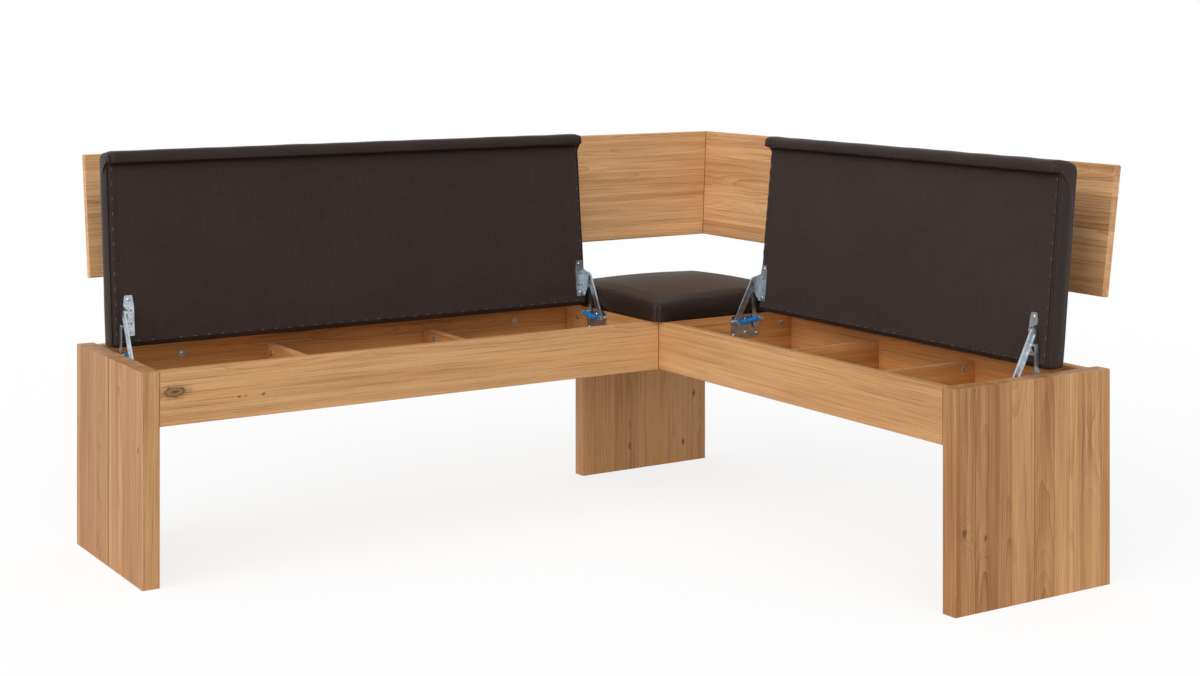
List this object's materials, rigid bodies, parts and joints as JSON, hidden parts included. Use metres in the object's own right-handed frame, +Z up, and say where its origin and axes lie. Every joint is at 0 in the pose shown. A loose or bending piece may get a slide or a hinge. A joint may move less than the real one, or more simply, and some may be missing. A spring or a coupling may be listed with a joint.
{
  "type": "corner storage bench",
  "caption": "L-shaped oak corner bench with slab legs, tilted backrest, fixed corner cushion and padded seats that lift on spring-assisted fittings over storage boxes.",
  "frame": {"origin": "middle of the bench's bounding box, on the floor", "axes": "+Z up; the longer wing runs along X and faces -Y; the shorter wing runs along Y and faces -X"},
  "size_m": [1.7878, 1.5428, 0.8699],
  "materials": {
    "oak": "oiled knotty oak",
    "plywood": "plain plywood",
    "brown_cover": "dark brown artificial leather, fine grain",
    "zinc_steel": "bright zinc plated steel",
    "blue_sleeve": "blue plastic sleeve"
  },
  "bodies": {
    "frame": {"left_leg_front_board": "oak", "left_leg_rear_board": "oak", "left_apron": "oak", "left_back_rail": "oak", "left_inner_wall": "oak", "left_inner_divider": "oak", "left_outer_divider": "oak", "left_floor_panel": "plywood", "left_back_board": "oak", "left_outer_back_post": "oak", "left_inner_back_post": "oak", "left_outer_post_upper_bolt": "zinc_steel", "left_outer_post_lower_bolt": "zinc_steel", "left_inner_post_upper_bolt": "zinc_steel", "left_inner_post_lower_bolt": "zinc_steel", "left_inner_base_plate": "zinc_steel", "left_outer_base_plate": "zinc_steel", "right_leg_front_board": "oak", "right_leg_rear_board": "oak", "right_apron": "oak", "right_back_rail": "oak", "right_inner_wall": "oak", "right_inner_divider": "oak", "right_outer_divider": "oak", "right_floor_panel": "plywood", "right_back_board": "oak", "right_back_post": "oak", "right_post_upper_bolt": "zinc_steel", "right_post_lower_bolt": "zinc_steel", "right_inner_base_plate": "zinc_steel", "right_outer_base_plate": "zinc_steel", "corner_leg_left_board": "oak", "corner_leg_right_board": "oak", "backrest_corner_angle": "zinc_steel", "corner_seat_board": "plywood", "corner_cushion": "brown_cover"},
    "left_long_arms": {"left_inner_long_arm": "zinc_steel", "left_outer_long_arm": "zinc_steel"},
    "left_seat": {"left_seat_board": "plywood", "left_seat_pad": "brown_cover", "left_inner_seat_bracket": "zinc_steel", "left_outer_seat_bracket": "zinc_steel"},
    "left_short_arms": {"left_inner_short_arm": "zinc_steel", "left_outer_short_arm": "zinc_steel"},
    "left_spring_sleeves": {"left_inner_spring_sleeve": "blue_sleeve", "left_outer_spring_sleeve": "blue_sleeve"},
    "left_springs": {"left_inner_tension_spring": "zinc_steel", "left_outer_tension_spring": "zinc_steel"},
    "right_long_arms": {"right_inner_long_arm": "zinc_steel", "right_outer_long_arm": "zinc_steel"},
    "right_seat": {"right_seat_board": "plywood", "right_seat_pad": "brown_cover", "right_inner_seat_bracket": "zinc_steel", "right_outer_seat_bracket": "zinc_steel"},
    "right_short_arms": {"right_inner_short_arm": "zinc_steel", "right_outer_short_arm": "zinc_steel"},
    "right_spring_sleeves": {"right_inner_spring_sleeve": "blue_sleeve", "right_outer_spring_sleeve": "blue_sleeve"},
    "right_springs": {"right_inner_tension_spring": "zinc_steel", "right_outer_tension_spring": "zinc_steel"}
  },
  "joints": [
    {"name": "left_seat_fold", "type": "hinge", "parent": "frame", "child": "left_long_arms", "pos_m": [0.3661, 0.4456, 0.424], "axis": [1, 0, 0], "range_deg": [-62.42, 0]},
    {"name": "left_seat_turn", "type": "hinge", "parent": "left_long_arms", "child": "left_seat", "pos_m": [0.3661, 0.49981, 0.5243], "axis": [1, 0, 0], "range_deg": [0, 158.27]},
    {"name": "left_short_arm_turn", "type": "hinge", "parent": "frame", "child": "left_short_arms", "pos_m": [0.3661, 0.5096, 0.415], "axis": [1, 0, 0], "range_deg": [-85.26, 0]},
    {"name": "left_spring_swing", "type": "hinge", "parent": "frame", "child": "left_spring_sleeves", "pos_m": [0.3661, 0.4456, 0.424], "axis": [1, 0, 0], "range_deg": [-16.05, 0]},
    {"name": "left_spring_stretch", "type": "slide", "parent": "left_spring_sleeves", "child": "left_springs", "axis": [0, 0.9926, 0.1214], "range_m": [0, 0.01296]},
    {"name": "right_seat_fold", "type": "hinge", "parent": "frame", "child": "right_long_arms", "pos_m": [0.5681, 0.2436, 0.424], "axis": [0, -1, 0], "range_deg": [-62.42, 0]},
    {"name": "right_seat_turn", "type": "hinge", "parent": "right_long_arms", "child": "right_seat", "pos_m": [0.62231, 0.2436, 0.5243], "axis": [0, -1, 0], "range_deg": [0, 158.27]},
    {"name": "right_short_arm_turn", "type": "hinge", "parent": "frame", "child": "right_short_arms", "pos_m": [0.6321, 0.2436, 0.415], "axis": [0, -1, 0], "range_deg": [-85.26, 0]},
    {"name": "right_spring_swing", "type": "hinge", "parent": "frame", "child": "right_spring_sleeves", "pos_m": [0.5681, 0.2436, 0.424], "axis": [0, -1, 0], "range_deg": [-16.05, 0]},
    {"name": "right_spring_stretch", "type": "slide", "parent": "right_spring_sleeves", "child": "right_springs", "axis": [0.9926, 0, 0.1214], "range_m": [0, 0.01296]}
  ],
  "couplings": [
    {"joint": "left_seat_turn", "follows": "left_seat_fold", "ratio": -2.5349},
    {"joint": "left_short_arm_turn", "follows": "left_seat_fold", "ratio": 1.3652},
    {"joint": "left_spring_swing", "follows": "left_seat_fold", "ratio": 0.25643},
    {"joint": "left_spring_stretch", "follows": "left_seat_fold", "m_per_rad": -0.01185},
    {"joint": "right_seat_turn", "follows": "right_seat_fold", "ratio": -2.5349},
    {"joint": "right_short_arm_turn", "follows": "right_seat_fold", "ratio": 1.3652},
    {"joint": "right_spring_swing", "follows": "right_seat_fold", "ratio": 0.25643},
    {"joint": "right_spring_stretch", "follows": "right_seat_fold", "m_per_rad": -0.01185}
  ]
}
